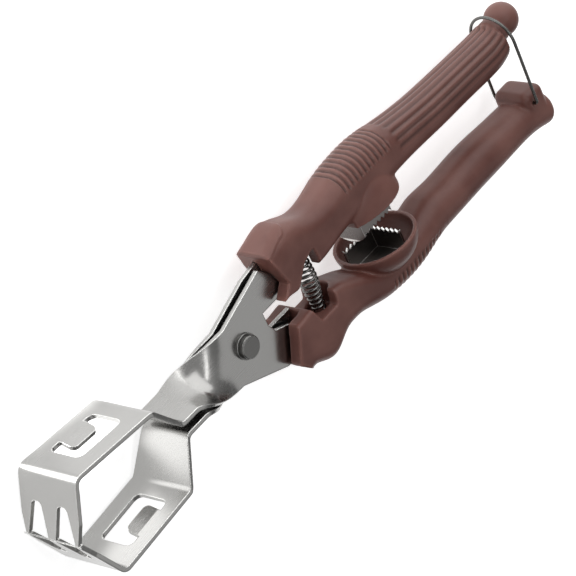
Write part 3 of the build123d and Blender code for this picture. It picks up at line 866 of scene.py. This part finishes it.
def tube(name, line, radius, sides):
    """Closed round tube along a line of points, in millimetres from the rivet."""
    mesh = bpy.data.meshes.new(name)
    mesh.from_pydata(ring_points(line, radius, sides), [], ring_faces(len(line), sides))
    mesh.update()
    mesh.shade_smooth()
    piece = bpy.data.objects.new(name, mesh)
    bpy.context.scene.collection.objects.link(piece)
    return piece


spring_coil = tube("return_spring_coil", wire_line, SPRING_WIRE / 2, WIRE_SIDES)
spring_coil.data.materials.append(spring_steel)
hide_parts("return_spring")
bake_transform(spring_coil)
print("spring of", SPRING_TURNS, "turns, with", len(spring_coil.data.polygons), "faces")

# %% [markdown]
# The tool lies on white paper. Seen directly the paper is white all over, because it glows a
# little, as a backlit sweep does. Satin steel is hard to show on it: a plate repeats the
# brightness of whatever it reflects, so on even paper all the plates come out alike. A
# photographer lays white cards beside bright metal for that reason. Here the cards are three
# patches where the paper glows more strongly. They don't show against the white, but the
# steel reflects them.
#
# The glow could come from separate lamps, but the plates look down at the paper, so a lamp
# would have to stand in the picture. Places on the paper are given from the middle of the
# tool, where the paper's own coordinates start.

# %% Glow of the paper
EVEN_GLOW = (0.6, 0.6, 0.6)
CARD_GLOW = (6.0, 6.0, 6.0)
SIDE_CARD_SHARE = 0.045
BEND_CARD_SHARE = 0.7
CAGE_CARD_SHARE = 0.27


def card_between(tree, value, low, high, soft):
    """1 between two places on the paper, fading to 0 beyond them."""
    rise = ramp(tree, value, low - soft, low, 0.0, 1.0)
    fall = ramp(tree, value, high, high + soft, 1.0, 0.0)
    return math_node(tree, "MULTIPLY", rise, fall)


def side_card(tree, along, outward):
    """Faint card along the upper handle's side, as far forward as the cage."""
    beside = ramp(tree, outward, -12.0 * MM, -34.0 * MM, 0.0, 1.0)
    behind = ramp(tree, along, 98.0 * MM, 112.0 * MM, SIDE_CARD_SHARE, 0.0)
    return math_node(tree, "MULTIPLY", beside, behind)


def bend_card(tree, along, outward):
    """Wedge that opens from the foot of the front bend.

    A line drawn up the bend reflects a straight line on the paper, which starts at the bend's
    foot. So a wedge between two such lines gives the bend a band of even width.
    """
    past_bend = math_node(tree, "SUBTRACT", along, 121.5 * MM)
    beside_bend = math_node(tree, "SUBTRACT", -20.7 * MM, outward)
    distance = math_node(tree, "MAXIMUM", beside_bend, 0.1 * MM)
    slope = math_node(tree, "DIVIDE", past_bend, distance)
    from_first_line = ramp(tree, slope, -0.3, 0.0, 0.0, 1.0)
    to_last_line = ramp(tree, slope, 0.8, 1.2, BEND_CARD_SHARE, 0.0)
    wedge = math_node(tree, "MULTIPLY", from_first_line, to_last_line)
    beyond_plate = ramp(tree, beside_bend, 0.0, 1.0 * MM, 0.0, 1.0)
    return math_node(tree, "MULTIPLY", wedge, beyond_plate)


def cage_card(tree, along, outward):
    """Card inside the cage, which the slanted plate of the lower jaw looks down on."""
    lengthwise = card_between(tree, along, 88.0 * MM, 110.0 * MM, 8.0 * MM)
    crosswise = card_between(tree, outward, -18.0 * MM, 0.0, 6.0 * MM)
    card = math_node(tree, "MULTIPLY", lengthwise, crosswise)
    return math_node(tree, "MULTIPLY", card, CAGE_CARD_SHARE)


def paper_glow(tree):
    """Colour that the paper gives off at each point."""
    point = coordinates_of(tree)
    cards = [card(tree, point["X"], point["Y"]) for card in (side_card, bend_card, cage_card)]
    share = math_node(tree, "ADD", cards[0], cards[1])
    share = math_node(tree, "MAXIMUM", share, cards[2])
    return colour_mix(tree, share, EVEN_GLOW, CARD_GLOW)


print("paper glows", EVEN_GLOW[0], "with cards up to", round(CARD_GLOW[0] * BEND_CARD_SHARE, 1))

# %% [markdown]
# The floor itself is one large matt square at the height on which the tool lies. It is staged:
# it belongs to the picture, not to the tool, so it is never exported or measured.

# %% Floor
FLOOR_SIZE = 6.0
PAPER_WHITE = (0.92, 0.92, 0.92, 1.0)


def white_floor():
    half = FLOOR_SIZE / 2
    corners = [(-half, -half, 0.0), (half, -half, 0.0), (half, half, 0.0), (-half, half, 0.0)]
    mesh = bpy.data.meshes.new("white_floor")
    mesh.from_pydata(corners, [], [(0, 1, 2, 3)])
    made, tree, shader = new_material("white_paper")
    shader.inputs["Base Color"].default_value = PAPER_WHITE
    shader.inputs["Roughness"].default_value = 0.9
    shader.inputs["Specular IOR Level"].default_value = 0.0
    tree.links.new(paper_glow(tree), shader.inputs["Emission Color"])
    shader.inputs["Emission Strength"].default_value = 1.0
    mesh.materials.append(made)
    floor = bpy.data.objects.new("white_floor", mesh)
    bpy.context.scene.collection.objects.link(floor)
    return floor


floor = white_floor()
print("floor of", FLOOR_SIZE, "m")

# %% [markdown]
# Around the paper stands a plain studio. A world of one grey would make the plastic look flat,
# so this one is bright overhead and on the upper handle's side, and greyer on the other side.
# That is enough for soft gradients, and it has no windows or lamps to be mirrored.

# %% Studio room
DIM_WALL = (0.24, 0.24, 0.24)
BRIGHT_WALL = (0.95, 0.95, 0.95)
ROOM_STRENGTH = 0.48
UPPER_SIDE = (0.5, -0.7)
OVERHEAD = (-0.1, 0.9)
OVERHEAD_SHARE = 0.35


def studio_room():
    """World that is light above and on the upper handle's side, and grey opposite."""
    world = bpy.data.worlds.new("studio_room")
    bpy.context.scene.world = world
    world.use_nodes = True
    tree = world.node_tree
    background = next(node for node in tree.nodes if node.type == "BACKGROUND")
    direction = coordinates_of(tree, "Generated")
    towards_upper = ramp(tree, direction["Y"], *UPPER_SIDE, 0.0, 1.0)
    overhead = ramp(tree, direction["Z"], *OVERHEAD, 0.0, OVERHEAD_SHARE)
    share = math_node(tree, "ADD", towards_upper, overhead)
    share = math_node(tree, "MINIMUM", share, 1.0)
    walls = colour_mix(tree, share, DIM_WALL, BRIGHT_WALL)
    tree.links.new(walls, background.inputs["Color"])
    background.inputs["Strength"].default_value = ROOM_STRENGTH
    return world


room = studio_room()
print("room", room.name, "at strength", ROOM_STRENGTH)

# %% [markdown]
# Four large soft lamps stand around the tool, all turned towards the rivet. The key light on
# the upper handle's side models the grips. A long strip over the neck runs along the line of
# directions that the twisted neck shows, so the neck gets one bright band. The last two only
# keep the jaws and the flat plates from going dark. Large lamps are used throughout, because
# small ones would leave hard spots on satin steel.

# %% Studio light
ALONG_TOOL = (1.0, 0.0, 0.0)
ALONG_NECK_BAND = (0.86, 0.51, 0.0)


def soft_light(name, where, size, power, lengthwise=ALONG_TOOL):
    """Lamp that faces the rivet. Its size is a length and a width, in metres."""
    lamp = bpy.data.lights.new(name, "AREA")
    lamp.shape = "RECTANGLE"
    lamp.size, lamp.size_y = size
    lamp.energy = power
    piece = bpy.data.objects.new(name, lamp)
    piece.location = place(*where)
    back = (piece.location - rivet_middle).normalized()
    lengthwise = Vector(lengthwise)
    lengthwise = (lengthwise - back * back.dot(lengthwise)).normalized()
    turn = Matrix((lengthwise, back.cross(lengthwise), back)).transposed()
    piece.rotation_euler = turn.to_euler()
    bpy.context.scene.collection.objects.link(piece)
    return piece


lamps = [
    soft_light("key_light", (-400.0, -750.0, 330.0), (1.6, 0.8), 5.8),
    soft_light("neck_light", (-30.0, -215.0, 800.0), (1.0, 0.14), 1.4, ALONG_NECK_BAND),
    soft_light("fill_light", (700.0, 200.0, 600.0), (0.6, 0.6), 0.8),
    soft_light("plate_light", (-500.0, 514.0, 697.0), (0.6, 0.6), 0.6),
]
bpy.context.scene.view_settings.view_transform = "Standard"
print("lit by", ", ".join(lamp.name for lamp in lamps))

# %% [markdown]
# The photograph looks down on the jaws from the upper handle's side through a long lens. The
# camera's place and its three directions were worked out from the right angles and arcs of
# the real tool, and are given from the rivet like everything on the tool. Three directions
# say exactly how the camera is turned, with no angle left to guess.

# %% Camera
CAMERA_PLACE = (479.2, -523.0, 705.3)
CAMERA_RIGHT = (-0.6022, 0.3715, 0.7067)
CAMERA_UP = (-0.6222, -0.773, -0.1238)
CAMERA_BACK = (0.5002, -0.5142, 0.6966)
LENS_MM = 190.0
SENSOR_MM = 36.0
SIGHT_END = 20.0


def long_lens_camera():
    lens = bpy.data.cameras.new("long_lens")
    lens.lens = LENS_MM
    lens.sensor_width = SENSOR_MM
    lens.sensor_fit = "HORIZONTAL"
    lens.clip_end = SIGHT_END
    camera = bpy.data.objects.new("long_lens", lens)
    turn = Matrix((CAMERA_RIGHT, CAMERA_UP, CAMERA_BACK)).transposed()
    camera.matrix_world = Matrix.Translation(place(*CAMERA_PLACE)) @ turn.to_4x4()
    bpy.context.scene.collection.objects.link(camera)
    bpy.context.scene.camera = camera
    return camera


camera = long_lens_camera()
print("camera at", [round(value, 3) for value in camera.location])
